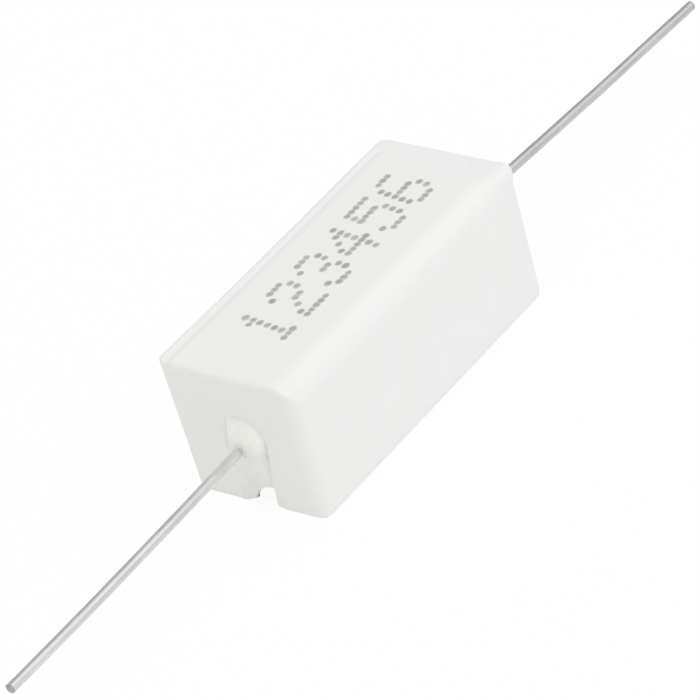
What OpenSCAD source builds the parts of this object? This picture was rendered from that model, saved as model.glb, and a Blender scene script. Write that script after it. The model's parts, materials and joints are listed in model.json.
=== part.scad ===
// Wirewound power resistor: a wound ceramic rod set in cement in a ceramic
// case, with one wire lead out of each end. Sizes are in millimetres.
// +X runs from the left lead to the right lead and +Z is up. The origin is at
// the centre of the open underside, level with the rim that the case rests on.

/* [Case] */
// Length over the two end walls
case_l = 22; // [20:0.5:36]
// Width over the two side walls
case_w = 9.5; // [8.5:0.1:14]
// Height from the rim to the top
case_h = 9; // [8.5:0.1:13]
// Thickness of the side walls
side_wall = 1.2; // [0.8:0.1:1.5]
// Thickness of the end walls
end_wall = 1.3; // [0.8:0.1:1.6]
// Thickness of the top
roof = 1.3; // [0.8:0.1:1.5]
// Radius of the front long top edge
long_edge_r = 1.4; // [0.5:0.1:1.8]
// Radius of the back long top edge
back_edge_r = 0.3; // [0.2:0.1:1.2]
// Radius of the top edge over the left lead
end_edge_r = 0.4; // [0.2:0.1:1.2]
// Radius of the top edge over the right lead
far_edge_r = 0.3; // [0.2:0.1:1.2]
// Radius of the four upright corners
corner_r = 0.8; // [0.4:0.1:1.6]
// Radius of the outer edge of the rim
foot_r = 0.2; // [0.1:0.05:0.4]
// Radius of the upright corners inside the case
cavity_r = 0.6; // [0.3:0.1:1.2]

/* [Lead slots] */
// Radius of the round head of each slot
slot_head_r = 1.55; // [1.3:0.05:1.9]
// Height of the centre of the head above the middle of the cavity
slot_head_h = 0.95; // [0.6:0.05:1.5]
// Width of the neck below the head
slot_neck_w = 2.1; // [1.6:0.1:2.6]
// Height at which the neck starts to widen into the head
slot_neck_h = 1.8; // [1.2:0.1:2.6]
// Radius of the flare at the mouth of the slot
slot_mouth_r = 0.5; // [0.2:0.1:0.8]
// Distance of the slots to the front of the centre line
slot_shift = 0.25; // [0:0.05:0.4]

/* [Cement] */
// Gap between the cement and the walls of the case
cement_gap = 0.02; // [0.01:0.01:0.05]
// Depth of the cement behind the end faces, in the slots
plug_recess = 0.1; // [0.05:0.05:0.4]
// Height of the mound of cement round each lead
mound_h = 0.5; // [0.2:0.05:0.6]
// Distance of the steep side of the mound from the head of the slot
mound_inset = 0.25; // [0.15:0.05:0.5]
// Radius of the ball that the top of the mound is part of
mound_ball_r = 3; // [2:0.25:5]
// Radius of the hollow that is left under the cement at the left slot
chip_r = 1.45; // [1:0.05:1.8]
// Depth of that hollow, in from the end face
chip_l = 2.2; // [0.5:0.1:2.5]
// Distance of its centre to the front of the centre line
chip_offset = 1.2; // [0.8:0.1:1.6]

/* [Wound rod] */
// Length over the two end caps
element_l = 16; // [13:0.5:17]
// Diameter of the ceramic rod
core_d = 4.2; // [3.2:0.1:4.4]
// Thickness of the sheet of the end caps
cap_wall = 0.25; // [0.15:0.05:0.4]
// Length of rod that each cap covers
cap_grip = 2; // [1.2:0.1:2.6]
// Diameter of the resistance wire
wire_d = 0.25; // [0.15:0.05:0.35]
// Number of turns of resistance wire
wire_turns = 13; // [6:1:16]
// Running gap between the rod, the caps, the wire and the cement
fit_gap = 0.02; // [0.01:0.01:0.05]
// Diameter of the weld on the face of each cap
weld_d = 1.1; // [0.8:0.1:1.6]
// Height of that weld
weld_h = 0.3; // [0.15:0.05:0.5]
// Height of the centre of the left cap face above the middle of the cavity
left_cap_h = 0.33; // [0.1:0.01:0.8]
// Height of the centre of the right cap face above the middle of the cavity
right_cap_h = 0.69; // [0.1:0.01:0.8]

/* [Leads] */
// Diameter of the leads
lead_d = 0.6; // [0.5:0.05:0.8]
// Length of the left lead outside the case
left_lead_out = 21.2; // [15:0.1:38]
// Length of the right lead outside the case
right_lead_out = 23.1; // [15:0.1:38]
// Distance from the end faces at which the leads take their bend
bend_out = 0.4; // [0.35:0.05:1]
// Radius of that bend, at the middle of the wire
bend_r = 3; // [2:0.5:6]
// Angle by which the left lead points below level
left_lead_droop = 0; // [0:0.1:3]
// Angle by which the left lead points to the front
left_lead_swing = 0; // [0:0.1:3]
// Angle by which the right lead points below level
right_lead_droop = 2; // [0:0.1:4]
// Angle by which the right lead points to the front
right_lead_swing = 2; // [0:0.1:4]
// Chamfer on the cut ends of the leads
lead_chamfer = 0.06; // [0.03:0.01:0.12]

/* [Hidden] */
$fn = 48;
// Margin by which a cutting shape passes through what it cuts
through = 1;

cavity_l = case_l - 2 * end_wall;
cavity_w = case_w - 2 * side_wall;
cavity_h = case_h - roof;

// The sides of the slot's neck run up to touch the head
slot_head_z = cavity_h / 2 + slot_head_h;
neck_run = slot_head_z - slot_neck_h;
neck_to_head = norm([slot_neck_w / 2, neck_run]);
touch_angle = acos(slot_head_r / neck_to_head) - atan2(neck_run, slot_neck_w / 2);

// The wound rod lies between the two cap heights
element_h = (cavity_h + left_cap_h + right_cap_h) / 2;
element_tilt = asin((right_cap_h - left_cap_h) / element_l);
cap_outer_r = core_d / 2 + fit_gap + cap_wall;
cap_l = cap_grip + cap_wall + fit_gap;
core_l = element_l - 2 * (cap_wall + fit_gap);

// The wire is swept in straight steps, so its radius is raised until the
// middle of each step clears the rod
coil_steps = 20;
wire_sides = 6;
coil_r = (core_d / 2 + fit_gap + wire_d / 2) / cos(180 / coil_steps);
coil_l = element_l - 2 * (cap_l + fit_gap) - wire_d;
element_r = max(cap_outer_r, coil_r + wire_d / 2) + fit_gap;

// Each lead runs straight on from its cap as far as its bend
straight_run = (case_l / 2 + bend_out) / cos(element_tilt) - element_l / 2;

// A rectangle with its lower edge at zero, centred sideways. Its two upper
// corners have radii of their own and its two lower corners share one
module rounded_outline(w, h, left_r, right_r, base_r) {
    polygon([
        [-w / 2 + base_r, 0], [w / 2 - base_r, 0], [w / 2, base_r],
        [w / 2, h - right_r], [w / 2 - right_r, h], [-w / 2 + left_r, h],
        [-w / 2, h - left_r], [-w / 2, base_r]
    ]);
    translate([-w / 2 + left_r, h - left_r]) circle(left_r);
    translate([w / 2 - right_r, h - right_r]) circle(right_r);
    for (side = [-1, 1]) translate([side * (w / 2 - base_r), base_r]) circle(base_r);
}

// Stands an outline up in the plane of the end faces and extrudes it along X
module along_x(l) {
    rotate([90, 0, 90]) linear_extrude(l, center = true) children();
}

// Stands an outline up in the plane of the long sides and extrudes it along Y
module along_y(l) {
    rotate([90, 0, 0]) linear_extrude(l, center = true) children();
}

// The outside of the case, where its three rounded outlines meet
module case_outside() {
    intersection() {
        along_x(case_l) rounded_outline(case_w, case_h, long_edge_r, back_edge_r, foot_r);
        along_y(case_w) rounded_outline(case_l, case_h, end_edge_r, far_edge_r, foot_r);
        linear_extrude(case_h) translate([0, -case_w / 2])
            rounded_outline(case_l, case_w, corner_r, corner_r, corner_r);
    }
}

// The trough inside the case, made smaller all round by a gap
module trough(gap) {
    w = cavity_w - 2 * gap;
    translate([0, -w / 2, -through]) linear_extrude(cavity_h - gap + through)
        rounded_outline(cavity_l - 2 * gap, w, cavity_r, cavity_r, cavity_r);
}

// The outline of a lead slot: a round head, a tapered neck and a flared mouth
module slot_outline(gap) {
    head = slot_head_r - gap;
    neck = slot_neck_w / 2 - gap;
    flare = slot_mouth_r + gap;
    translate([-slot_shift, 0]) {
        translate([0, slot_head_z]) circle(head);
        polygon([
            [-neck, -through], [neck, -through], [neck, slot_neck_h],
            [head * cos(touch_angle), slot_head_z + head * sin(touch_angle)],
            [-head * cos(touch_angle), slot_head_z + head * sin(touch_angle)],
            [-neck, slot_neck_h]
        ]);
        difference() {
            translate([-neck - flare, -through])
                square([2 * (neck + flare), slot_mouth_r + through]);
            for (side = [-1, 1])
                translate([side * (neck + flare), slot_mouth_r]) circle(flare);
        }
    }
}

// Places children in the line of the wound rod, with X along it
module on_element() {
    translate([0, 0, element_h]) rotate([0, -element_tilt, 0]) children();
}

// Places children on the face of a cap, with Z pointing away from the rod
module on_cap(side) {
    on_element() translate([side * element_l / 2, 0, 0]) rotate([0, side * 90, 0]) children();
}

module ceramic_case() {
    color([0.95, 0.95, 0.94]) difference() {
        case_outside();
        trough(0);
        along_x(case_l + 2 * through) slot_outline(0);
    }
}

// One end of the cement: it fills a slot and swells out of it round the lead,
// in a mound with a round top and steep sides
module cement_plug(side) {
    face_x = case_l / 2 - plug_recess;
    root_x = cavity_l / 2 - end_wall;
    lead_z = element_h + side * face_x * tan(element_tilt);
    translate([side * (face_x + root_x) / 2, 0, 0]) along_x(face_x - root_x)
        slot_outline(cement_gap);
    translate([side * face_x, -slot_shift, (slot_head_z + lead_z) / 2])
        rotate([0, side * 90, 0]) rotate_extrude() intersection() {
            translate([0, mound_h - mound_ball_r]) circle(mound_ball_r);
            translate([0, -plug_recess])
                square([slot_head_r - mound_inset, mound_h + plug_recess]);
        }
}

// The space that the wound rod, its welds and the leads take up in the cement
module element_space() {
    on_element() rotate([0, 90, 0])
        cylinder(h = element_l + 2 * fit_gap, r = element_r, center = true);
    for (side = [-1, 1]) on_cap(side) {
        cylinder(h = weld_h + 2 * fit_gap, d = weld_d + 2 * fit_gap);
        cylinder(h = straight_run + through, d = lead_d + 2 * fit_gap);
    }
}

module cement_fill() {
    color([0.90, 0.89, 0.86]) difference() {
        union() {
            trough(cement_gap);
            cement_plug(-1);
            cement_plug(1);
        }
        element_space();
        translate([-case_l / 2, -chip_offset, 0])
            along_x(2 * chip_l) circle(chip_r);
        translate([0, 0, -case_h / 2]) cube([case_l + through, case_w, case_h], center = true);
    }
}

module core_rod() {
    color([0.93, 0.91, 0.86]) on_element() rotate([0, 90, 0])
        cylinder(h = core_l, d = core_d, center = true);
}

// The wire runs round the rod from one cap to the other
module resistance_winding() {
    count = wire_turns * coil_steps;
    rise = atan2(coil_l / wire_turns, 2 * PI * coil_r);
    points = [for (i = [0:count], j = [0:wire_sides - 1])
        let (turn = 360 * i / coil_steps, across = 360 * j / wire_sides,
            out = coil_r + wire_d / 2 * cos(across), along = wire_d / 2 * sin(across))
        [
            coil_l * (i / count - 0.5) + along * cos(rise),
            out * cos(turn) + along * sin(rise) * sin(turn),
            out * sin(turn) - along * sin(rise) * cos(turn)
        ]
    ];
    sides = [for (i = [0:count - 1], j = [0:wire_sides - 1])
        let (a = i * wire_sides + j, b = i * wire_sides + (j + 1) % wire_sides)
        [a, b, b + wire_sides, a + wire_sides]
    ];
    first = [for (j = [wire_sides - 1:-1:0]) j];
    last = [for (j = [0:wire_sides - 1]) count * wire_sides + j];
    color([0.62, 0.57, 0.50]) on_element() polyhedron(points, concat([first], sides, [last]));
}

// A drawn sheet cup, pressed over the end of the rod, with the weld on its face
module end_cap(side) {
    color([0.78, 0.78, 0.76]) on_cap(side) {
        difference() {
            translate([0, 0, -cap_l]) cylinder(h = cap_l, r = cap_outer_r);
            translate([0, 0, -cap_l - through])
                cylinder(h = cap_l + through - cap_wall, r = cap_outer_r - cap_wall);
        }
        cylinder(h = weld_h, d = weld_d);
    }
}

module left_end_cap() {
    end_cap(-1);
}

module right_end_cap() {
    end_cap(1);
}

// A wire that leaves its cap square, bends once outside the cement and runs
// straight to its cut end, below level by droop and to the front by swing
module lead(side, out, droop, swing) {
    heading = [side * cos(droop) * cos(swing), -cos(droop) * sin(swing), -sin(droop)];
    ahead = side * (heading.x * cos(element_tilt) + heading.z * sin(element_tilt));
    aside = side * (heading.x * sin(element_tilt) - heading.z * cos(element_tilt));
    bend = acos(ahead);
    start = weld_h + fit_gap;
    straight = out - bend_out - bend_r * bend * PI / 180 - lead_chamfer;
    color([0.80, 0.80, 0.80]) on_cap(side) rotate([0, 0, atan2(heading.y, aside)]) {
        translate([0, 0, start]) cylinder(h = straight_run - start, d = lead_d);
        translate([bend_r, 0, straight_run]) {
            rotate([90, 0, 180]) rotate_extrude(angle = bend)
                translate([bend_r, 0]) circle(d = lead_d);
            rotate([0, bend, 0]) translate([-bend_r, 0, 0]) {
                cylinder(h = straight, d = lead_d);
                translate([0, 0, straight])
                    cylinder(h = lead_chamfer, d1 = lead_d, d2 = lead_d - 2 * lead_chamfer);
            }
        }
    }
}

module left_lead() {
    lead(-1, left_lead_out, left_lead_droop, left_lead_swing);
}

module right_lead() {
    lead(1, right_lead_out, right_lead_droop, right_lead_swing);
}

ceramic_case();
cement_fill();
core_rod();
resistance_winding();
left_end_cap();
right_end_cap();
left_lead();
right_lead();
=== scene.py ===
import json
import math

import bmesh
import bpy
import numpy as np
from mathutils import Matrix, Vector, noise
from mathutils.bvhtree import BVHTree


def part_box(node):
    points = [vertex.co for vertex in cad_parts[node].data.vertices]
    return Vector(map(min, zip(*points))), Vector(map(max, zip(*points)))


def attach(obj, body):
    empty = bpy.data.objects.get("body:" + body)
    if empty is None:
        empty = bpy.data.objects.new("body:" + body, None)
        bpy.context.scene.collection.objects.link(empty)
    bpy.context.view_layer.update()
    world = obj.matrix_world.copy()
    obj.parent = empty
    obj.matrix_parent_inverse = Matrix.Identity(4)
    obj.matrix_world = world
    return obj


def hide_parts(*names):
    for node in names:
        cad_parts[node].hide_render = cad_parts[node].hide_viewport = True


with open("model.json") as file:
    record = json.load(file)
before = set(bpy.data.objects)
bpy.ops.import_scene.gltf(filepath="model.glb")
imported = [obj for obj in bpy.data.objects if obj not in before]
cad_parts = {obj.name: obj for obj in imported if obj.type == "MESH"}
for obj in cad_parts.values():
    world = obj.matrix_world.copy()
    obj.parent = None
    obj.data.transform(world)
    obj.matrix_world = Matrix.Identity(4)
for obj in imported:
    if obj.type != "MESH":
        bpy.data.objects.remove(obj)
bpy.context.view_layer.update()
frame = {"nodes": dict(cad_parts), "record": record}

MM = 0.001
TINY = 1e-6

# Case
CASE_VOXEL = 0.125
CASE_SMOOTHING = 2
CASE_WARP = 0.012       # height of the slow unevenness of the pressed faces
CASE_WARP_SIZE = 3.5
SIDE_DRAFT = 0.135      # how far each long side leans in from the top to the rim
END_DRAFT = 0.05        # the same for the two ends
FRONT_RADIUS = 1.4      # radius of the front long top edge, as it is in the frame
UPRIGHT_RADIUS = 0.8    # radius of the upright edges, as it is in the frame
SQUARE_END = 2.2        # how much squarer the front edge gets towards the right end
SQUARE_LENGTH = 3.0     # length over which it does so
LEFT_LEAN = 0.14        # how far the top of the left end stands out
LEFT_LEAN_LENGTH = 3    # how far from that end the lean starts
LEFT_LEAN_LOSS = 0.9    # share of the lean that is lost towards the back
BACK_LEAN = 0.03        # how far the top of the back stands out towards its left
BACK_LEAN_SPAN = (1, 10)        # distances to the left of the middle
BACK_START = 1          # how far behind the middle the back starts
END_ZONE = 1.2          # depth behind an end face within which case and cement change
WALL_REACH = 0.6        # how far round the left slot its left wall moves with its edge
MOUTH_IN = 0.1          # how much narrower the left slot is at the rim, on its right
MOUTH_REACH = 0.5       # and how far round that edge the wall moves with it
MOUTH_SPAN = (0.3, 1.5)         # heights
FOOT_LIFT = 0.17        # how much higher the rim lies at the right end
FOOT_HEIGHT = 1.5       # height up to which the wall is raised with it
DENTS = ((9.69, -2.2, 9.0), (9.8, -4.75, 8.15))         # two dents near the right end
DENT_R = 0.38
DENT_DEPTH = 0.09

# Top of the case: a panel, and a border along its back and its right end
TOP_SPAN = (-1.0, -0.4)         # heights, counted from the top, where its changes set in
PANEL_RISE = 0.08       # height that the panel has over its nominal plane
BACK_BORDER = 0.8       # width of the border at the back
END_BORDER = 1.07       # and at the right end
BORDER_CORNER = 0.7     # radius at which the two meet
BACK_STEP = 0.09        # height of the panel over its border at the back
END_STEP = 0.05         # and at the right end
STEP_BLEND = 0.5        # half the width over which one height passes into the other
STEP_WIDTH = 0.2        # half the width of the step itself
GROOVE_DEPTH = 0.1      # depth of the line between the panel and its border
GROOVE_WIDTH = 0.22
CORNER_RISE = 0.08      # how much higher the back border lies at its left end
CORNER_START = 3        # how far to the left of the middle it starts to rise
CORNER_SPAN = (-1.5, 0.3)       # distances out from the border line

# Slots of the case, as they are in the frame
SLOT_Y = -0.25
SLOT_HEAD_R = 1.55
SLOT_HEAD_Z = 4.8
SLOT_NECK_W = 2.1
SLOT_NECK_Z = 1.8
SLOT_FLOOR_X = 10.9     # distance of the recessed cement from the middle of the case
SLOT_FLOOR_SPAN = (-0.25, -0.1)         # places, counted from it, where its changes set in

# Cement
CEMENT_VOXEL = 0.15
CEMENT_SMOOTHING = 3
CEMENT_ROUGH = 0.03     # height of the cement's grain
CHIP_ROUGH = 0.1        # height of the grain on the broken patch by the left slot's foot
CHIP_MIDDLE = (-10.6, -1.2, 0)
CHIP_R = 1.7
GRAIN_SIZE = 0.55
FINE_SIZE = 0.2         # size of the fine part of the grain
FINE_SHARE = 0.3
FINE_SHIFT = 7          # where in the noise the fine part is taken
BASE_LIFT = 0.32        # how far the cement falls short of the rim in a slot
BASE_SPAN = (-0.9, -0.1)        # places, counted from the end face
BASE_HEIGHT = 0.9       # height up to which the cement is lifted with its foot
BASE_LEFT_LOSS = 0.6    # share of the lift that is lost on the left
BASE_LEFT_SPAN = (0.3, 1.1)

# The mound of cement round each lead. Spans named UP count from the lead's height, those
# named SIDE are places across the slot, and those named ROOM distances from its edge.
MOUND_HEIGHT = 0.56     # how far the cement swells out of its recess
MOUND_EDGE = 0.85       # distance in which it rises from the slot's edge
MOUND_START = 0.05      # share of that distance that stays flat
MOUND_SPREAD = 0.7      # how much longer the distance is at the lower left
SPREAD_SIDE = (-0.3, 0.5)
SPREAD_UP = (-0.6, 0.3)
MOUND_UP = 2.1          # reach of the mound above the lead
MOUND_DOWN = 2.3        # and below it
LEFT_LINE = 1.22        # place of the line at which the mound ends on the left
LEFT_SLANT = 0.27       # how far it leans to the right with each millimetre of height
LEFT_LINE_Z = 4.1       # height at which the lean starts
LEFT_LINE_REACH = 2.2   # and how far up it goes on
FURROW_DEPTH = 0.2      # depth of the furrow between the mound and the slot's edge
FURROW_WIDTH = 0.17
FURROW_ROOM = 0.12      # distance of the furrow from the slot's edge
FURROW_SIDE = (-0.6, 0.2)       # it fades from the right to the left
FURROW_FOOT = (1.6, 2.6)        # heights over the rim between which it sets in
OVER_UP = (0.6, 1.4)    # where the furrow goes on over the mound
OVER_SIDE = (0.4, 0.7)
CREASE_DEPTH = 0.07     # depth of the crease that bounds the mound on the left
CREASE_WIDTH = 0.09
CREASE_ROOM = (0.1, 0.45)
CREASE_UP = (-0.2, 0.3)
RING_DEPTH = 0.16       # depth of the gap that is left round the lead
RING_R = 0.36
RING_WIDTH = 0.07
RING_LEFT = 0.35        # share of that depth on the left of the lead
RING_SIDE = (-0.2, 0.1)

# Cement that is smeared over the left edge of each slot
SMEAR = 0.2             # how far it is smeared over the edge
FILL = 0.05             # how far the cement is pressed against the slot's wall all round
FILL_SPAN = (0.05, 0.4)         # distances from the slot's edge
SMEAR_SPAN = (3.7, 4.1)         # heights between which the smear ends
SMEAR_SIDE = (0.05, 0.65)
SMEAR_ROOM = (0.05, 0.5)
SMEAR_PROUD = 0.01      # how far the smear stands proud of the case
SMEAR_EVEN = 0.7        # share of the grain that it lacks

# The hollow under the left end
HOLLOW_LEAN = 0.7       # how far it leans to the back
HOLLOW_DEPTH = ((0.35, 1.0), (1.6, 2.4))        # depths at which the lean starts and ends
HOLLOW_SIDE = ((-1.2, -0.4), (0.8, 1.6))        # the same across it
HOLLOW_SPAN = (0.9, 1.5)        # heights
HOLLOW_PAINTED_SHADE_MIDDLE = (-9.4, -0.5, 0.3)       # the hollow is painted dark round this point: painted shade
HOLLOW_PAINTED_SHADE_REACH = (1.25, 1.5)      # distances between which the painted shade ends
HOLLOW_PAINTED_SHADE_LEVEL = (0.3, 1.0)       # brightness inside and outside it

# Leads
LEAD_Z = {"left_lead": 4.11, "right_lead": 4.61}        # height at which each leaves
LEAD_SIDES = 32
RING_PITCH = 0.09       # from one ring of a lead's skin to the next
INNER_RINGS = (0, 0.5, 0.97)    # shares of the way from the weld to the case with a ring
WELD_SLICE = 0.02       # length at a lead's inner end that gives the middle of its weld
LEAD_WANDER = 0.015     # how far a lead strays from its straight line
WANDER_SIZE = 5         # length of a stray
WANDER_LIFT_AT = 9      # where in the noise the strays in height are taken
LOOSE_AFTER = 3         # length from the case after which the lead strays fully
LEAD_BOW = {"left_lead": (0.085, 0.72), "right_lead": (0.03, 1.1)}      # depth, half waves
ROLL_DEPTH = 0.006      # depth of the marks that the straightening rolls leave
ROLL_LENGTH = 1.1
ROLL_FINENESS = 1.6     # how fast the marks change round a lead
ROLL_LEVEL = 0.3        # value of the noise where the skin has its nominal radius
CUTTER_NIP = {"cropped": 0.018, "rounded": 0}   # depth of the nip that the cutter left
CUTTER_NIP_AT = 0.75    # its distance from the cut end
CUTTER_NIP_WIDTH = 0.09
LEAD_ENDS = {           # for each ring of the cut end: place ahead, share of the radius
    "cropped": ((0.03, 1.0), (0.055, 0.96), (0.06, 0.9), (0.05, 0.5), (0.045, 0.12)),
    "rounded": ((0.0, 0.98), (0.05, 0.93), (0.1, 0.82), (0.14, 0.64), (0.165, 0.4), (0.175, 0.12)),
}
END_BACK = 0.06         # how far behind the nominal end those places are counted from
TORN_HEIGHT = 0.02      # height of the torn metal in the cut face
TORN_FINENESS = 4
CUT_RINGS = 4           # how many of a lead's last rings lie in its cut face
NEAR_WIRE_PAINTED_LEVEL = 1.12      # painted brightness of the left wire: its tin is painted lighter, as painted light
FAR_WIRE_PAINTED_LEVEL = 0.92       # and of the right one, painted darker as painted shade
PAINTED_SHINE_MIDDLE = (-11.3, 0, 4.1)     # the tin is painted brighter round the place where the left lead leaves: a painted reflection
PAINTED_SHINE_REACH = (0.8, 4.0)         # distances between which the painted reflection ends
PAINTED_SHINE_LEVEL = (1.25, 1.0)        # brightness inside and outside it
LEFT_SEED = 1.7
RIGHT_SEED = 8.3

# Print on the top
DIGITS = "123456"
GLYPHS = {
    "1": "..#.. .##.. ..#.. ..#.. ..#.. ..#.. .###.",
    "2": ".###. #...# ....# ..##. .#... #.... #####",
    "3": ".###. #...# ....# ..##. ....# #...# .###.",
    "4": "...#. ..##. .#.#. #..#. ##### ...#. ...#.",
    "5": "##### #.... ####. ....# ....# #...# .###.",
    "6": ".###. #.... #.... ####. #...# #...# .###.",
}
PRINT_START = (-7.4, -1.45)
PRINT_SLANT = 0.13      # sideways lean for each millimetre of height
CELL_PITCH = 2.66       # from one digit to the next
COLUMN_PITCH = 0.43
ROW_PITCH = 0.547
DOT_RADIUS = 0.25
DOT_SPREAD = 0.25       # how much the dots differ in size
DOT_LENGTH = 1.1        # how much longer than wide a dot is
DOT_DRIFT = 0.03        # how far at most a dot lies off its place
DOT_UNEVEN = 0.14       # share by which its radius varies
DRIFT_STEP = 0.73       # from one dot's place in the noise to the next, for the drift
DRIFT_LEVELS = (0.5, 5.5)       # where in the noise the drift along and across is taken
SPREAD_STEP = 0.61      # from one dot's place in the noise to the next, for the size
DOT_SIDES = 20
DOT_THICKNESS = 0.008
DROP_HEIGHT = 20        # height from which the dots are dropped on the case
# For each ring of a dot: share of the radius, share of the thickness, cover with ink
DOT_RINGS = ((1.0, -0.3, 0.0), (0.85, 0.6, 0.5), (0.65, 1.0, 0.92), (0.3, 0.9, 1.0))

# Colours at the low and the high values of each noise
WIDE = (0.3, 0.7)       # a low and a high value of a noise
NARROW = (0.35, 0.65)   # the same, closer together
CASE_CLOUDS = ((0.860, 0.860, 0.857), (0.876, 0.876, 0.875))
CASE_GRAINS = ((0.858, 0.858, 0.855), (0.879, 0.879, 0.878))
CEMENT_STOPS = (0.3, 0.5, 0.72)
CEMENT_CLOUDS = ((0.815, 0.813, 0.80), (0.865, 0.865, 0.855), (0.895, 0.894, 0.885))
CEMENT_GRAINS = ((0.80, 0.80, 0.79), (0.905, 0.905, 0.898))
# the cement's pit marks are painted darker: painted shade
PIT_STOPS = (0.05, 0.16)
PIT_PAINTED_SHADES = ((0.72, 0.72, 0.72), (1.0, 1.0, 1.0))
CEMENT_PAINTED_LIGHT_HEIGHT = (3.9, 5.0)      # between these heights the cement is painted paler: painted light on its upper part
CEMENT_PAINTED_LIGHT_LEVEL = (1.01, 1.105)    # from the first brightness to the second
TIN_DRAWN = ((0.49, 0.49, 0.485), (0.71, 0.71, 0.705))
TIN_PATCHES = ((0.54, 0.54, 0.53), (0.67, 0.67, 0.67))
COPPER_STOPS = (0.3, 0.5, 0.7)
COPPER_TORN = ((0.22, 0.19, 0.17), (0.46, 0.43, 0.40), (0.68, 0.65, 0.62))
INK_SPECKS = ((0.36, 0.36, 0.36), (0.52, 0.52, 0.515))
INK_FAINT = ((0.34, 0.34, 0.34), (0.56, 0.56, 0.555))
UNDER_INK = (0.867, 0.867, 0.865)
CORE_GRAINS = ((0.77, 0.72, 0.62), (0.84, 0.80, 0.72))
WIRE_DRAWN = ((0.26, 0.235, 0.20), (0.40, 0.37, 0.33))
STEEL_DRAWN = ((0.52, 0.52, 0.50), (0.66, 0.66, 0.64))

# Camera, as it stood for the photograph
CAMERA_PLACE = (-167.163, -168.066, 165.908)
CAMERA_TURN = (1.881865388, -1.113427343, 0.279673097)  # axis, as long as the angle
FRAME_SIDE = 700
FOCAL_PIXELS = 5122.5
SENSOR = 36.0
CLIP_NEAR = 0.01        # in metres
CLIP_FAR = 10

# Studio. Spans are cosines of the angle off a direction.
SKY = 0.835             # level of the light tent
SHADE_TOWARD = (0.55, 0.75, 0.35)       # where the tent is darker, behind the object
TENT_SHADE = 0.26       # how much darker it is there
TENT_SHADE_SPAN = (0.1, 0.9)
METAL_SHADE = 0.32      # the same, as bare metal mirrors it
METAL_SHADE_SPAN = (0.55, 1.0)
CARD_TOWARD = (0.58, -0.45, 0.68)       # where metal mirrors a white card
CARD_LEVEL = 0.48       # extra light that it mirrors from there
CARD_SPAN = (0.82, 0.97)
TINT_TOWARD = (-1, 0.2, -0.1)   # where the tent is tinted, off the left end
TENT_TINT = (0.93, 0.945, 0.79)
TINT_SPAN = (0.45, 0.95)
KEY_POWER = 0.88        # in watts
KEY_SIZE = 0.65         # in metres
KEY_DISTANCE = 0.5      # in metres
KEY_FROM = (0.18, -0.27, 0.95)
FLOOR_HALF = 3.0        # half the side of the floor, in metres
FLOOR_CELLS = 8
FLOOR_COLOUR = (0.98, 0.98, 0.98)
FLOOR_WHITE = 0.94      # share of plain white that the camera and metal see on the floor


def solid_from(name, mesh):
    """Links a mesh that is in millimetres as a smooth shaded object in metres."""
    mesh.transform(Matrix.Scale(MM, 4))
    mesh.polygons.foreach_set("use_smooth", [True] * len(mesh.polygons))
    mesh.update()
    piece = bpy.data.objects.new(name, mesh)
    bpy.context.scene.collection.objects.link(piece)
    return piece


def mesh_from(name, bm):
    """The mesh of a bmesh, which is freed."""
    mesh = bpy.data.meshes.new(name)
    bm.to_mesh(mesh)
    bm.free()
    return mesh


def node_in_mm(node):
    """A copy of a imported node's mesh, in millimetres."""
    mesh = frame["nodes"][node].data.copy()
    mesh.transform(Matrix.Scale(1 / MM, 4))
    return mesh


def voxel_remeshed(mesh, voxel):
    """The mesh rebuilt as an even skin of quads."""
    carrier = bpy.data.objects.new("carrier", mesh)
    bpy.context.scene.collection.objects.link(carrier)
    remesh = carrier.modifiers.new("remesh", "REMESH")
    remesh.mode = "VOXEL"
    remesh.voxel_size = voxel
    even = bpy.data.meshes.new_from_object(
        carrier.evaluated_get(bpy.context.evaluated_depsgraph_get()))
    bpy.data.objects.remove(carrier)
    even.materials.clear()
    return even


def refined(mesh, wanted):
    """Cuts the edges whose two ends both meet a test in half, and their faces in four."""
    bm = bmesh.new()
    bm.from_mesh(mesh)
    edges = [e for e in bm.edges if all(wanted(v.co) for v in e.verts)]
    bmesh.ops.subdivide_edges(bm, edges=edges, cuts=1, use_grid_fill=True)
    bm.to_mesh(mesh)
    bm.free()


def points_of(mesh):
    """The vertices of a mesh as an array with one row each."""
    points = np.empty(len(mesh.vertices) * 3, np.float32)
    mesh.vertices.foreach_get("co", points)
    return points.reshape(-1, 3).astype(float)


def normals_of(mesh):
    """The vertex normals of a mesh as an array with one row each."""
    normals = np.empty(len(mesh.vertices) * 3, np.float32)
    mesh.vertex_normals.foreach_get("vector", normals)
    return normals.reshape(-1, 3).astype(float)


def put_points(mesh, points):
    """Moves the vertices of a mesh to the rows of an array."""
    mesh.vertices.foreach_set("co", points.astype(np.float32).ravel())
    mesh.update()


def relaxed(mesh, points, rounds):
    """Moves each point half way to the middle of its neighbours, some rounds over."""
    edges = np.empty(len(mesh.edges) * 2, np.int32)
    mesh.edges.foreach_get("vertices", edges)
    first, second = edges.reshape(-1, 2).T
    count = np.bincount(edges, minlength=len(points)).clip(1)
    for _ in range(rounds):
        total = np.zeros_like(points)
        for axis in range(3):
            total[:, axis] += np.bincount(first, points[second, axis], len(points))
            total[:, axis] += np.bincount(second, points[first, axis], len(points))
        points = (points + total / count[:, None]) / 2
    return points


def grain(points, size, octaves=1, shift=0.0):
    """Smooth noise from about -1 to 1 at each point, with features of one size."""
    offset = Vector((shift, shift, shift))
    values = [
        noise.fractal(Vector(p) / size + offset, 1.0, 2.0, octaves, noise_basis="PERLIN_ORIGINAL")
        for p in points
    ]
    return np.array(values)


def ramp(values, low, high):
    """A smooth step from 0 at low to 1 at high."""
    share = np.clip((values - low) / (high - low), 0, 1)
    return share * share * (3 - 2 * share)


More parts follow.
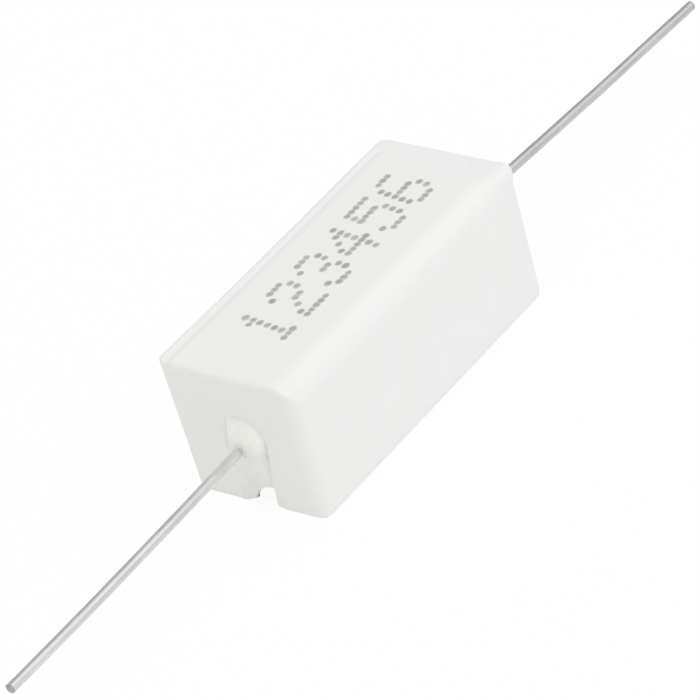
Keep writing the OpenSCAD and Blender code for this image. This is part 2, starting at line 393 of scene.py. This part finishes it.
def fade(values, low, high):
    """A smooth step from 1 at low to 0 at high."""
    return 1 - ramp(values, low, high)


def bell(values, width):
    """A smooth bump that is 1 where the values are 0."""
    return np.exp(-(values / width) ** 2)


def neck_half(z):
    """Half the width of a slot's neck at each height. It widens up to the head."""
    rise = np.clip((z - SLOT_NECK_Z) / (SLOT_HEAD_Z - SLOT_NECK_Z), 0, 1)
    return SLOT_NECK_W / 2 + (SLOT_HEAD_R - SLOT_NECK_W / 2) * rise


def slot_left(z):
    """How far to the left a slot reaches at each height."""
    head = np.sqrt((SLOT_HEAD_R ** 2 - (z - SLOT_HEAD_Z) ** 2).clip(0, None))
    return SLOT_Y + np.where(z < SLOT_HEAD_Z, neck_half(z), head)


def room_in_slot(y, z):
    """How far a point of the cement lies inside the edge of a slot."""
    head = SLOT_HEAD_R - np.hypot(y - SLOT_Y, z - SLOT_HEAD_Z)
    neck = neck_half(z) - np.abs(y - SLOT_Y)
    return np.maximum(head, np.where(z < SLOT_HEAD_Z, neck, -1))


def left_line(z):
    """Where the mound ends on the left at each height."""
    return LEFT_LINE - LEFT_SLANT * np.clip(z - LEFT_LINE_Z, 0, LEFT_LINE_REACH)


def square_front_edge(points, low, high):
    """Makes the front long top edge squarer towards the right end."""
    x, y, z = points.T      # views, so a change to one of them moves the points
    out_y = (low.y + FRONT_RADIUS - y).clip(0, None)
    out_z = (z - high.z + FRONT_RADIUS).clip(0, None)
    reach = np.hypot(out_y, out_z).clip(TINY, None)
    power = 2 + SQUARE_END * ramp(x, high.x - SQUARE_LENGTH, high.x - UPRIGHT_RADIUS)
    on_edge = (out_y > 0) & (out_z > 0) & (reach > FRONT_RADIUS / 2)
    size = (out_y / reach) ** power + (out_z / reach) ** power
    square = np.where(on_edge, size, 1) ** (-1 / power) - 1
    y -= out_y * square
    z += out_z * square


def shape_ends(points, low, high):
    """Gives the left slot its slanting upper left edge and its narrower mouth, leans the
    left end and the back out, and raises the rim at the right end."""
    x, y, z = points.T      # views, as above
    wall = slot_left(z)
    covered = (wall - left_line(z)).clip(0, None) * bell(y - wall, WALL_REACH)
    y -= covered * ramp(-x, -low.x - END_ZONE, -low.x - END_ZONE / 2)
    back = ramp(y, BACK_START, high.y)
    lean = LEFT_LEAN * (1 - LEFT_LEAN_LOSS * back) * (z / high.z) ** 2
    x -= lean * ramp(-x, -low.x - LEFT_LEAN_LENGTH, -low.x)
    y += BACK_LEAN * ramp(-x, *BACK_LEAN_SPAN) * back * z / high.z
    mouth = bell(y - SLOT_Y + SLOT_NECK_W / 2, MOUTH_REACH) * fade(z, *MOUTH_SPAN)
    y += MOUTH_IN * mouth * ramp(-x, -low.x - END_ZONE, -low.x - END_ZONE / 2)
    z += FOOT_LIFT * ramp(x, high.x - UPRIGHT_RADIUS, high.x) * fade(z, 0, FOOT_HEIGHT)


def raise_panel(points, low, high):
    """Raises the panel of the top and draws the line between it and its border."""
    x, y, z = points.T      # views, as above
    top = ramp(z - high.z, *TOP_SPAN)
    behind = y - high.y + BACK_BORDER + BORDER_CORNER
    beside = x - high.x + END_BORDER + BORDER_CORNER
    off_panel = np.hypot(behind.clip(0, None), beside.clip(0, None)) - BORDER_CORNER
    step = BACK_STEP + (END_STEP - BACK_STEP) * ramp(beside - behind, -STEP_BLEND, STEP_BLEND)
    groove = GROOVE_DEPTH * bell(off_panel, GROOVE_WIDTH)
    z += top * (PANEL_RISE - step * ramp(off_panel, -STEP_WIDTH, STEP_WIDTH) - groove)
    z += top * CORNER_RISE * ramp(-x, CORNER_START, -low.x) * ramp(off_panel, *CORNER_SPAN)


def ceramic_case():
    """The pressed case: soft edges, a little draft and a top that stands just proud."""
    low, high = (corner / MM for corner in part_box("ceramic_case"))
    mesh = voxel_remeshed(node_in_mm("ceramic_case"), CASE_VOXEL)
    points = relaxed(mesh, points_of(mesh), CASE_SMOOTHING)
    put_points(mesh, points)
    normals = normals_of(mesh)
    points += normals * (CASE_WARP * grain(points, CASE_WARP_SIZE, octaves=2))[:, None]
    square_front_edge(points, low, high)
    shape_ends(points, low, high)
    raise_panel(points, low, high)
    for dent in DENTS:
        near = bell(np.linalg.norm(points - dent, axis=1), DENT_R)
        points -= normals * (DENT_DEPTH * near)[:, None]
    depth = 1 - points[:, 2] / high.z
    points[:, 1] *= 1 - SIDE_DRAFT / high.y * depth
    points[:, 0] *= 1 - END_DRAFT / high.x * depth
    put_points(mesh, points)
    piece = solid_from("case_shell", mesh)
    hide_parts("ceramic_case")
    return piece


def swell(y, z, lead_z):
    """How far the cement of a slot stands out of its recess: a steep sided mound
    with a furrow over and to the right of it, and a gap round the lead."""
    room = room_in_slot(y, z)
    up = z - lead_z
    away = np.where(up > 0, up / MOUND_UP, -up / MOUND_DOWN).clip(0, 1)
    lower_left = ramp(y, *SPREAD_SIDE) * fade(up, *SPREAD_UP)
    edge = np.minimum(room, left_line(z) - y) / (MOUND_EDGE + MOUND_SPREAD * lower_left)
    rise = np.sin(np.clip(edge - MOUND_START, 0, 1) * math.pi / 2)
    mound = MOUND_HEIGHT * (1 - away) * rise
    over = ramp(up, *OVER_UP) * fade(y, *OVER_SIDE)
    open_side = np.maximum(fade(y, *FURROW_SIDE), over)
    furrow = FURROW_DEPTH * open_side * bell(room - FURROW_ROOM, FURROW_WIDTH)
    furrow *= ramp(z, *FURROW_FOOT)
    crease = CREASE_DEPTH * bell(y - left_line(z), CREASE_WIDTH) * ramp(room, *CREASE_ROOM)
    crease *= ramp(up, *CREASE_UP)
    gap = RING_DEPTH * bell(np.hypot(y, up) - RING_R, RING_WIDTH)
    gap *= RING_LEFT + (1 - RING_LEFT) * fade(y, *RING_SIDE)
    return mound - furrow - crease - gap


def fill_slots(points, high):
    """Swells the cement out of both slots, smears it over their left edges and lifts it
    off the rim. Gives back how much each point is smeared."""
    x, y, z = points.T      # views, as above
    side = np.sign(x)
    lead_z = np.where(side < 0, LEAD_Z["left_lead"], LEAD_Z["right_lead"])
    room = room_in_slot(y, z)
    open_end = ramp(np.abs(x) - SLOT_FLOOR_X, *SLOT_FLOOR_SPAN)
    smeared = fade(z, *SMEAR_SPAN) * ramp(y, *SMEAR_SIDE) * fade(room, *SMEAR_ROOM)
    face = SLOT_FLOOR_X + swell(y, z, lead_z)
    flush = high.x - END_DRAFT * (1 - z / high.z) + SMEAR_PROUD
    face += smeared * (flush - face)
    x += open_end * (side * face - x)
    spread = open_end * (FILL + SMEAR * smeared) * fade(room, *FILL_SPAN)
    turn = np.arctan2(np.clip(z - SLOT_HEAD_Z, 0, None), y - SLOT_Y)
    y += spread * np.cos(turn)
    z += spread * np.sin(turn)
    lifted = ramp(np.abs(x) - high.x, *BASE_SPAN) * fade(z, 0, BASE_HEIGHT)
    z += BASE_LIFT * lifted * (1 - BASE_LEFT_LOSS * ramp(y, *BASE_LEFT_SPAN))
    return smeared


def lean_hollow(points, high):
    """Leans the hollow under the left end to the back."""
    x, y, z = points.T      # views, as above
    depth = high.x + x
    deep = ramp(depth, *HOLLOW_DEPTH[0]) * fade(depth, *HOLLOW_DEPTH[1])
    across = ramp(y, *HOLLOW_SIDE[0]) * fade(y, *HOLLOW_SIDE[1])
    y += HOLLOW_LEAN * deep * across * fade(z, *HOLLOW_SPAN)


def cement_fill():
    """The set cement: grainy, swollen round the leads and smeared over the left edge of
    each slot, with a leaning hollow and a broken patch at the foot of the left one."""
    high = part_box("ceramic_case")[1] / MM
    mesh = voxel_remeshed(node_in_mm("cement_fill"), CEMENT_VOXEL)
    refined(mesh, lambda place: abs(place.x) > high.x - END_ZONE)
    points = relaxed(mesh, points_of(mesh), CEMENT_SMOOTHING)
    smeared = fill_slots(points, high)
    lean_hollow(points, high)
    points = relaxed(mesh, points, 1)
    put_points(mesh, points)

    off_chip = np.linalg.norm(points - CHIP_MIDDLE, axis=1) / CHIP_R
    coarse = (1 - FINE_SHARE) * grain(points, GRAIN_SIZE, octaves=3)
    fine = FINE_SHARE * grain(points, FINE_SIZE, shift=FINE_SHIFT)
    rough = (CEMENT_ROUGH + CHIP_ROUGH * np.exp(-off_chip ** 6)) * (coarse + fine)
    rough *= 1 - SMEAR_EVEN * smeared
    points += normals_of(mesh) * rough[:, None]
    points[:, 2] = points[:, 2].clip(0, None)
    put_points(mesh, points)
    piece = solid_from("cement_body", mesh)
    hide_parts("cement_fill")
    return piece


def turns(count):
    """The angles of the corners of a ring."""
    return [2 * math.pi * i / count for i in range(count)]


def joined(bm, ring, after):
    """The faces between a ring of vertices and the ring after it."""
    corners = zip(ring, ring[1:] + ring[:1], after[1:] + after[:1], after)
    return [bm.faces.new(four) for four in corners]


def lead_course(node):
    """The middle of a lead's weld, the two ends of its straight stretch, and its radius."""
    pin = next(m for m in frame["record"]["mounts"] if m["name"] == node)
    middle = Vector(pin["pos_m"]) / MM
    heading = Vector(pin["axis"]).normalized()
    half = pin["dims"]["length_mm"] / 2
    cad = points_of(frame["nodes"][node].data) / MM
    inner = np.abs(cad[:, 0]) < np.abs(cad[:, 0]).min() + WELD_SLICE
    weld = Vector(cad[inner].mean(0))
    return weld, middle - heading * half, middle + heading * half, pin["dims"]["r_mm"]


def lead_ring(bm, centre, side, up, radius, out, seed):
    """One ring of a lead's skin, marked a little where the noise says so."""
    ring = []
    for turn in turns(LEAD_SIDES):
        across, over = math.cos(turn), math.sin(turn)
        place = Vector((out / ROLL_LENGTH, ROLL_FINENESS * across + seed, ROLL_FINENESS * over))
        r = radius + ROLL_DEPTH * (noise.noise(place) - ROLL_LEVEL)
        ring.append(bm.verts.new(centre + (side * across + up * over) * r))
    return ring


def lead_tip(bm, tip, heading, side, up, radius, cut, seed):
    """The rings that close a lead: cropped flat with a burr, or rounded over."""
    rings = []
    for ahead, share in LEAD_ENDS[cut]:
        ring = []
        fineness = TORN_FINENESS * share
        for turn in turns(LEAD_SIDES):
            spoke = side * math.cos(turn) + up * math.sin(turn)
            place = Vector((fineness * spoke.x, fineness * spoke.y + seed, fineness * spoke.z))
            rise = ahead - END_BACK + TORN_HEIGHT * noise.noise(place)
            ring.append(bm.verts.new(tip + heading * rise + spoke * radius * share))
        rings.append(ring)
    return rings


def tinned_lead(name, node, cut, seed):
    """A drawn wire with the marks of handling. cut says how its end was left."""
    weld, root, tip, radius = lead_course(node)
    heading = (tip - root).normalized()
    side = heading.cross(Vector((0, 0, 1))).normalized()
    up = side.cross(heading)
    length = (tip - root).length
    count = round(length / RING_PITCH)
    inside = [weld.lerp(root, share) for share in INNER_RINGS]
    outside = [root + heading * (length * i / count) for i in range(count + 1)]

    bm = bmesh.new()
    rings = []
    bow, waves = LEAD_BOW[node]
    for centre in inside + outside:
        out = max(0.0, (centre - root).dot(heading))
        sag = bow * math.sin(math.pi * waves * out / length)
        sunk = Vector((0, -sag, -sag))
        loose = LEAD_WANDER * min(1.0, out / LOOSE_AFTER)
        sway = loose * noise.noise(Vector((out / WANDER_SIZE, seed, 0)))
        lift = loose * noise.noise(Vector((out / WANDER_SIZE, seed, WANDER_LIFT_AT)))
        nip = CUTTER_NIP[cut] * float(bell(length - out - CUTTER_NIP_AT, CUTTER_NIP_WIDTH))
        middle = centre + sunk + side * sway + up * lift
        rings.append(lead_ring(bm, middle, side, up, radius - nip, out, seed))
    rings += lead_tip(bm, tip + sunk, heading, side, up, radius, cut, seed)

    cut_from = len(rings) - CUT_RINGS
    for number, (ring, after) in enumerate(zip(rings, rings[1:])):
        for face in joined(bm, ring, after):
            face.material_index = int(number >= cut_from)
    bm.faces.new(rings[0][::-1])
    bm.faces.new(rings[-1]).material_index = 1
    bmesh.ops.recalc_face_normals(bm, faces=bm.faces)
    piece = solid_from(name, mesh_from(name, bm))
    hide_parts(node)
    return piece


def print_dots():
    """Places of the dots of the print, as the print head lays them."""
    places = []
    for cell, digit in enumerate(DIGITS):
        start = PRINT_START[0] + cell * CELL_PITCH
        for row, marks in enumerate(reversed(GLYPHS[digit].split())):
            up = row * ROW_PITCH
            for column, mark in enumerate(marks):
                if mark == "#":
                    x = start + column * COLUMN_PITCH + up * PRINT_SLANT
                    places.append((x, PRINT_START[1] + up))
    return places


def dot_ring(bm, ink, surface, middle, radius, number, height, cover):
    """One ring of a dot of ink, dropped on the surface of the case."""
    ring = []
    for turn in turns(DOT_SIDES):
        across, along = math.cos(turn), math.sin(turn)
        edge = 1 + DOT_UNEVEN * noise.noise(Vector((across, along, number)))
        spot = middle + Vector((DOT_LENGTH * across, along, 0)) * (radius * edge)
        hit = surface.ray_cast(spot * MM + Vector((0, 0, DROP_HEIGHT * MM)), Vector((0, 0, -1)))[0]
        point = bm.verts.new((spot.x, spot.y, hit.z / MM + DOT_THICKNESS * height))
        point[ink] = cover
        ring.append(point)
    return ring


def printed_digits(case):
    """Plain digits in dots of ink, each dot a thin uneven disc laid on the case."""
    surface = BVHTree.FromObject(case, bpy.context.evaluated_depsgraph_get())
    bm = bmesh.new()
    ink = bm.verts.layers.float.new("ink")
    for number, (x, y) in enumerate(print_dots()):
        aside, ahead = (
            DOT_DRIFT * noise.noise(Vector((number * DRIFT_STEP, 0, level))) for level in DRIFT_LEVELS
        )
        size = noise.noise(Vector((0, number * SPREAD_STEP, 0)))
        radius = DOT_RADIUS * (1 + DOT_SPREAD * size)
        middle = Vector((x + aside, y + ahead, 0))
        rings = [
            dot_ring(bm, ink, surface, middle, radius * share, number, height, cover)
            for share, height, cover in DOT_RINGS
        ]
        for ring, after in zip(rings, rings[1:]):
            joined(bm, ring, after)
        bm.faces.new(rings[-1])
        bm.faces.new(rings[0][::-1])
    return solid_from("printed_digits", mesh_from("printed_digits", bm))


class Shader:
    """A node material being built: each method adds a node and returns its output."""

    def __init__(self, name):
        self.material = bpy.data.materials.new(name)
        self.material.use_nodes = True
        self.nodes = self.material.node_tree.nodes
        self.links = self.material.node_tree.links
        self.surface = self.nodes["Principled BSDF"]
        place = self.nodes.new("ShaderNodeTexCoord")
        self.place = place.outputs["Object"]

    def height(self):
        """Height over the floor in millimetres."""
        axes = self.nodes.new("ShaderNodeSeparateXYZ")
        self.links.new(self.place, axes.inputs["Vector"])
        return self.span(axes.outputs["Z"], (0, MM), (0, 1), clamp=False)

    def off(self, middle):
        """Distance in millimetres from a point that is given in millimetres."""
        apart = self.nodes.new("ShaderNodeVectorMath")
        apart.operation = "DISTANCE"
        apart.inputs[1].default_value = Vector(middle) * MM
        self.links.new(self.place, apart.inputs[0])
        return self.span(apart.outputs["Value"], (0, MM), (0, 1), clamp=False)

    def stretched(self, scale):
        """Places scaled along each axis, so that a noise on them gets long features."""
        mapping = self.nodes.new("ShaderNodeMapping")
        mapping.inputs["Scale"].default_value = scale
        self.links.new(self.place, mapping.inputs["Vector"])
        return mapping.outputs["Vector"]

    def noise(self, per_mm, detail=4.0, roughness=0.55, place=None):
        """Noise with so many features to the millimetre."""
        texture = self.nodes.new("ShaderNodeTexNoise")
        texture.inputs["Scale"].default_value = per_mm / MM
        texture.inputs["Detail"].default_value = detail
        texture.inputs["Roughness"].default_value = roughness
        self.links.new(place or self.place, texture.inputs["Vector"])
        return texture.outputs["Fac"]

    def cells(self, per_mm):
        """Distance from the middles of cells, so many to the millimetre."""
        texture = self.nodes.new("ShaderNodeTexVoronoi")
        texture.inputs["Scale"].default_value = per_mm / MM
        self.links.new(self.place, texture.inputs["Vector"])
        return texture.outputs["Distance"]

    def ramp(self, value, stops, colours):
        """Colours that pass into each other, one at each stop of the value."""
        node = self.nodes.new("ShaderNodeValToRGB")
        elements = node.color_ramp.elements
        while len(elements) < len(stops):
            elements.new(0.5)
        for element, stop, colour in zip(elements, stops, colours):
            element.position = stop
            element.color = (*colour, 1)
        self.links.new(value, node.inputs["Fac"])
        return node.outputs["Color"]

    def span(self, value, between, levels, clamp=True):
        """The first level at the start of a span of the value, the second at its end."""
        node = self.nodes.new("ShaderNodeMapRange")
        node.clamp = clamp
        names = ("From Min", "From Max", "To Min", "To Max")
        for name, number in zip(names, (*between, *levels)):
            node.inputs[name].default_value = number
        self.links.new(value, node.inputs["Value"])
        return node.outputs["Result"]

    def mix(self, share, one, other, blend="MIX"):
        """Two colours blended. Each input is a socket, a colour or a number."""
        node = self.nodes.new("ShaderNodeMix")
        node.data_type = "RGBA"
        node.blend_type = blend
        sockets = (node.inputs["Factor"], node.inputs[6], node.inputs[7])
        for socket, value in zip(sockets, (share, one, other)):
            if isinstance(value, bpy.types.NodeSocket):
                self.links.new(value, socket)
            elif isinstance(value, tuple):
                socket.default_value = (*value, 1)
            else:
                socket.default_value = value
        return node.outputs[2]

    def shaded(self, colour, level, share=1.0):
        """A colour multiplied by a level of brightness."""
        return self.mix(share, colour, level, "MULTIPLY")

    def bump(self, height, strength, depth_mm):
        """Fine relief of the surface."""
        node = self.nodes.new("ShaderNodeBump")
        node.inputs["Strength"].default_value = strength
        node.inputs["Distance"].default_value = depth_mm * MM
        self.links.new(height, node.inputs["Height"])
        self.links.new(node.outputs["Normal"], self.surface.inputs["Normal"])

    def set(self, **values):
        """Fills the inputs of the surface and returns the finished material."""
        for name, value in values.items():
            socket = self.surface.inputs[name.replace("_", " ").title().replace("Ior", "IOR")]
            if isinstance(value, bpy.types.NodeSocket):
                self.links.new(value, socket)
            else:
                socket.default_value = value
        return self.material


def case_ceramic():
    """White ceramic, very faintly clouded."""
    m = Shader("case_ceramic")
    clouds = m.noise(per_mm=0.22, detail=3)
    grains = m.noise(per_mm=9, detail=4)
    colour = m.mix(0.5, m.ramp(clouds, WIDE, CASE_CLOUDS), m.ramp(grains, NARROW, CASE_GRAINS))
    m.bump(grains, strength=0.25, depth_mm=0.01)
    gloss = m.span(grains, WIDE, (0.5, 0.62))
    return m.set(base_color=colour, roughness=gloss, specular_ior_level=0.35)


def cement():
    """Matt cement with painted shade in its pit marks, painted light that makes it paler higher up
    over the leads, and painted shade that darkens the hollow.
    """
    m = Shader("cement")
    clouds = m.noise(per_mm=0.9, detail=5, roughness=0.6)
    grains = m.noise(per_mm=6, detail=6, roughness=0.7)
    # painted shade: darker spots where the cement has pit marks
    pit_shade = m.ramp(m.cells(per_mm=3.2), PIT_STOPS, PIT_PAINTED_SHADES)
    colour = m.ramp(clouds, CEMENT_STOPS, CEMENT_CLOUDS)
    colour = m.mix(0.35, colour, m.ramp(grains, WIDE, CEMENT_GRAINS))
    colour = m.shaded(colour, pit_shade, share=0.6)
    # painted light: the cement made paler higher up
    colour = m.shaded(colour, m.span(m.height(), CEMENT_PAINTED_LIGHT_HEIGHT, CEMENT_PAINTED_LIGHT_LEVEL))
    # painted shade: the hollow under the left end is darkened round a point
    colour = m.shaded(colour, m.span(m.off(HOLLOW_PAINTED_SHADE_MIDDLE), HOLLOW_PAINTED_SHADE_REACH, HOLLOW_PAINTED_SHADE_LEVEL))
    m.bump(grains, strength=0.5, depth_mm=0.03)
    return m.set(base_color=colour, roughness=0.85, specular_ior_level=0.2)


def tinned_wire(name, painted_level):
    """Tinned copper with drawing marks along the wire and duller patches, scaled by a painted level
    of light for each wire and painted brighter where the left lead leaves, as a painted reflection.
    """
    m = Shader(name)
    along = m.stretched((0.35, 6, 6))
    drawn = m.noise(per_mm=0.6, detail=5, roughness=0.65, place=along)
    patches = m.noise(per_mm=0.9, detail=3)
    colour = m.mix(0.5, m.ramp(drawn, WIDE, TIN_DRAWN), m.ramp(patches, NARROW, TIN_PATCHES))
    # painted light and shade: each wire's tin is scaled by its own level
    colour = m.shaded(colour, (painted_level, painted_level, painted_level))
    # painted reflection: the tin made brighter round where the left lead leaves
    colour = m.shaded(colour, m.span(m.off(PAINTED_SHINE_MIDDLE), PAINTED_SHINE_REACH, PAINTED_SHINE_LEVEL))
    m.bump(drawn, strength=0.4, depth_mm=0.008)
    gloss = m.span(patches, WIDE, (0.26, 0.42))
    return m.set(base_color=colour, metallic=1.0, roughness=gloss)


def cut_copper():
    """Bare dull metal, torn by the cutter."""
    m = Shader("cut_copper")
    torn = m.noise(per_mm=7, detail=5, roughness=0.7, place=m.stretched((1, 1, 0.25)))
    colour = m.ramp(torn, COPPER_STOPS, COPPER_TORN)
    m.bump(torn, strength=0.6, depth_mm=0.02)
    return m.set(base_color=colour, metallic=0.9, roughness=0.45)


def print_ink():
    """Grey speckled ink that thins out to the case's white at the edge of each dot."""
    m = Shader("print_ink")
    specks = m.noise(per_mm=11, detail=4, roughness=0.7)
    faint = m.noise(per_mm=1.3, detail=2)
    colour = m.ramp(specks, NARROW, INK_SPECKS)
    colour = m.mix(0.5, colour, m.ramp(faint, NARROW, INK_FAINT))
    cover = m.nodes.new("ShaderNodeAttribute")
    cover.attribute_name = "ink"
    colour = m.mix(cover.outputs["Fac"], UNDER_INK, colour)
    m.bump(specks, strength=0.3, depth_mm=0.004)
    return m.set(base_color=colour, roughness=0.7, specular_ior_level=0.25)


def core_ceramic():
    """The rod's buff ceramic."""
    m = Shader("core_ceramic")
    grains = m.noise(per_mm=7, detail=5)
    colour = m.ramp(grains, NARROW, CORE_GRAINS)
    m.bump(grains, strength=0.3, depth_mm=0.015)
    return m.set(base_color=colour, roughness=0.7)


def resistance_wire():
    """Dark drawn alloy."""
    m = Shader("resistance_wire")
    drawn = m.noise(per_mm=4, detail=4)
    colour = m.ramp(drawn, WIDE, WIRE_DRAWN)
    m.bump(drawn, strength=0.25, depth_mm=0.004)
    return m.set(base_color=colour, metallic=1.0, roughness=m.span(drawn, WIDE, (0.3, 0.5)))


def cap_steel():
    """Plated steel, drawn along the axis."""
    m = Shader("cap_steel")
    along = m.stretched((0.5, 5, 5))
    drawn = m.noise(per_mm=1.2, detail=5, roughness=0.6, place=along)
    colour = m.ramp(drawn, WIDE, STEEL_DRAWN)
    m.bump(drawn, strength=0.25, depth_mm=0.005)
    return m.set(base_color=colour, metallic=1.0, roughness=m.span(drawn, WIDE, (0.28, 0.45)))


def dressed(piece, *materials):
    """Gives a piece its materials in the order of its faces' material numbers."""
    slots = piece.data.materials
    while len(slots) < len(materials):
        slots.append(None)
    for number, material in enumerate(materials):
        slots[number] = material


def camera():
    """The camera, which keeps the frame of the photograph."""
    turn = Vector(CAMERA_TURN)
    across, down, ahead = Matrix.Rotation(turn.length, 3, turn.normalized())
    data = bpy.data.cameras.new("camera")
    data.sensor_width = SENSOR
    data.lens = FOCAL_PIXELS / FRAME_SIDE * SENSOR
    data.clip_start = CLIP_NEAR
    data.clip_end = CLIP_FAR
    eye = bpy.data.objects.new("camera", data)
    bpy.context.scene.collection.objects.link(eye)
    pose = Matrix((across, -down, -ahead)).transposed().to_4x4()
    pose.translation = Vector(CAMERA_PLACE) * MM
    eye.matrix_world = pose
    bpy.context.scene.camera = eye


def tent():
    """A light tent that is darker behind the object and tinted off its left end, with a
    white card that only metal mirrors. The camera sees it as plain white."""
    world = bpy.data.worlds.new("studio")
    world.use_nodes = True
    bpy.context.scene.world = world
    nodes, links = world.node_tree.nodes, world.node_tree.links
    nodes.clear()
    place = nodes.new("ShaderNodeTexCoord")
    ray = nodes.new("ShaderNodeLightPath")

    def toward(direction, span, peak=1.0):
        """A soft patch of the tent round one direction."""
        dot = nodes.new("ShaderNodeVectorMath")
        dot.operation = "DOT_PRODUCT"
        dot.inputs[1].default_value = Vector(direction).normalized()
        links.new(place.outputs["Generated"], dot.inputs[0])
        share = nodes.new("ShaderNodeMapRange")
        share.interpolation_type = "SMOOTHSTEP"
        share.inputs["From Min"].default_value = span[0]
        share.inputs["From Max"].default_value = span[1]
        share.inputs["To Max"].default_value = peak
        links.new(dot.outputs["Value"], share.inputs["Value"])
        return share.outputs["Result"]

    darker = nodes.new("ShaderNodeMix")
    links.new(ray.outputs["Is Glossy Ray"], darker.inputs["Factor"])
    links.new(toward(SHADE_TOWARD, TENT_SHADE_SPAN, TENT_SHADE), darker.inputs["A"])
    links.new(toward(SHADE_TOWARD, METAL_SHADE_SPAN, METAL_SHADE), darker.inputs["B"])
    level = nodes.new("ShaderNodeMapRange")
    level.inputs["To Min"].default_value = SKY
    level.inputs["To Max"].default_value = 0
    links.new(darker.outputs["Result"], level.inputs["Value"])
    card = nodes.new("ShaderNodeMath")
    card.operation = "MULTIPLY"
    links.new(toward(CARD_TOWARD, CARD_SPAN), card.inputs[0])
    links.new(ray.outputs["Is Glossy Ray"], card.inputs[1])
    lit = nodes.new("ShaderNodeMath")
    lit.operation = "MULTIPLY_ADD"
    lit.inputs[1].default_value = CARD_LEVEL
    links.new(card.outputs["Value"], lit.inputs[0])
    links.new(level.outputs["Result"], lit.inputs[2])
    tint = nodes.new("ShaderNodeMix")
    tint.data_type = "RGBA"
    tint.inputs[6].default_value = (1, 1, 1, 1)
    tint.inputs[7].default_value = (*TENT_TINT, 1)
    links.new(toward(TINT_TOWARD, TINT_SPAN), tint.inputs["Factor"])

    cloth = nodes.new("ShaderNodeBackground")
    links.new(lit.outputs["Value"], cloth.inputs["Strength"])
    links.new(tint.outputs[2], cloth.inputs["Color"])
    white = nodes.new("ShaderNodeBackground")
    white.inputs["Color"].default_value = (1, 1, 1, 1)
    mixed = nodes.new("ShaderNodeMixShader")
    links.new(ray.outputs["Is Camera Ray"], mixed.inputs["Fac"])
    links.new(cloth.outputs["Background"], mixed.inputs[1])
    links.new(white.outputs["Background"], mixed.inputs[2])
    out = nodes.new("ShaderNodeOutputWorld")
    links.new(mixed.outputs["Shader"], out.inputs["Surface"])


def key_lamp():
    """One soft lamp over the front, which metal doesn't mirror."""
    lamp = bpy.data.lights.new("key", "AREA")
    lamp.energy = KEY_POWER
    lamp.size = KEY_SIZE
    key = bpy.data.objects.new("key", lamp)
    bpy.context.scene.collection.objects.link(key)
    away = Vector(KEY_FROM).normalized()
    key.visible_glossy = False
    key.location = away * KEY_DISTANCE
    key.rotation_euler = (-away).to_track_quat("-Z", "Y").to_euler()


def floor():
    """A pale floor that keeps the shadow and passes into the white background."""
    bm = bmesh.new()
    bmesh.ops.create_grid(bm, x_segments=FLOOR_CELLS, y_segments=FLOOR_CELLS, size=FLOOR_HALF)
    mesh = mesh_from("floor", bm)
    ground = bpy.data.objects.new("floor", mesh)
    bpy.context.scene.collection.objects.link(ground)
    material = bpy.data.materials.new("floor")
    material.use_nodes = True
    nodes, links = material.node_tree.nodes, material.node_tree.links
    nodes.clear()
    paint = nodes.new("ShaderNodeBsdfDiffuse")
    paint.inputs["Color"].default_value = (*FLOOR_COLOUR, 1)
    white = nodes.new("ShaderNodeEmission")
    ray = nodes.new("ShaderNodeLightPath")
    seen = nodes.new("ShaderNodeMath")
    seen.operation = "MAXIMUM"
    links.new(ray.outputs["Is Camera Ray"], seen.inputs[0])
    links.new(ray.outputs["Is Glossy Ray"], seen.inputs[1])
    share = nodes.new("ShaderNodeMath")
    share.operation = "MULTIPLY"
    share.inputs[1].default_value = FLOOR_WHITE
    links.new(seen.outputs[0], share.inputs[0])
    mixed = nodes.new("ShaderNodeMixShader")
    links.new(share.outputs[0], mixed.inputs["Fac"])
    links.new(paint.outputs["BSDF"], mixed.inputs[1])
    links.new(white.outputs["Emission"], mixed.inputs[2])
    out = nodes.new("ShaderNodeOutputMaterial")
    links.new(mixed.outputs["Shader"], out.inputs["Surface"])
    mesh.materials.append(material)


camera()
tent()
key_lamp()
floor()

case = ceramic_case()
cement_body = cement_fill()
left = tinned_lead("left_wire", "left_lead", "cropped", LEFT_SEED)
right = tinned_lead("right_wire", "right_lead", "rounded", RIGHT_SEED)
digits = printed_digits(case)

dressed(case, case_ceramic())
dressed(cement_body, cement())
dressed(left, tinned_wire("near_tinned_wire", NEAR_WIRE_PAINTED_LEVEL), cut_copper())
far_tin = tinned_wire("far_tinned_wire", FAR_WIRE_PAINTED_LEVEL)
dressed(right, far_tin, far_tin)
dressed(digits, print_ink())
dressed(frame["nodes"]["core_rod"], core_ceramic())
dressed(frame["nodes"]["resistance_winding"], resistance_wire())
steel = cap_steel()
for node in ("left_end_cap", "right_end_cap"):
    dressed(frame["nodes"][node], steel)

for piece in (case, cement_body, left, right, digits):
    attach(piece, "root")

bpy.context.scene.view_settings.view_transform = "Standard"
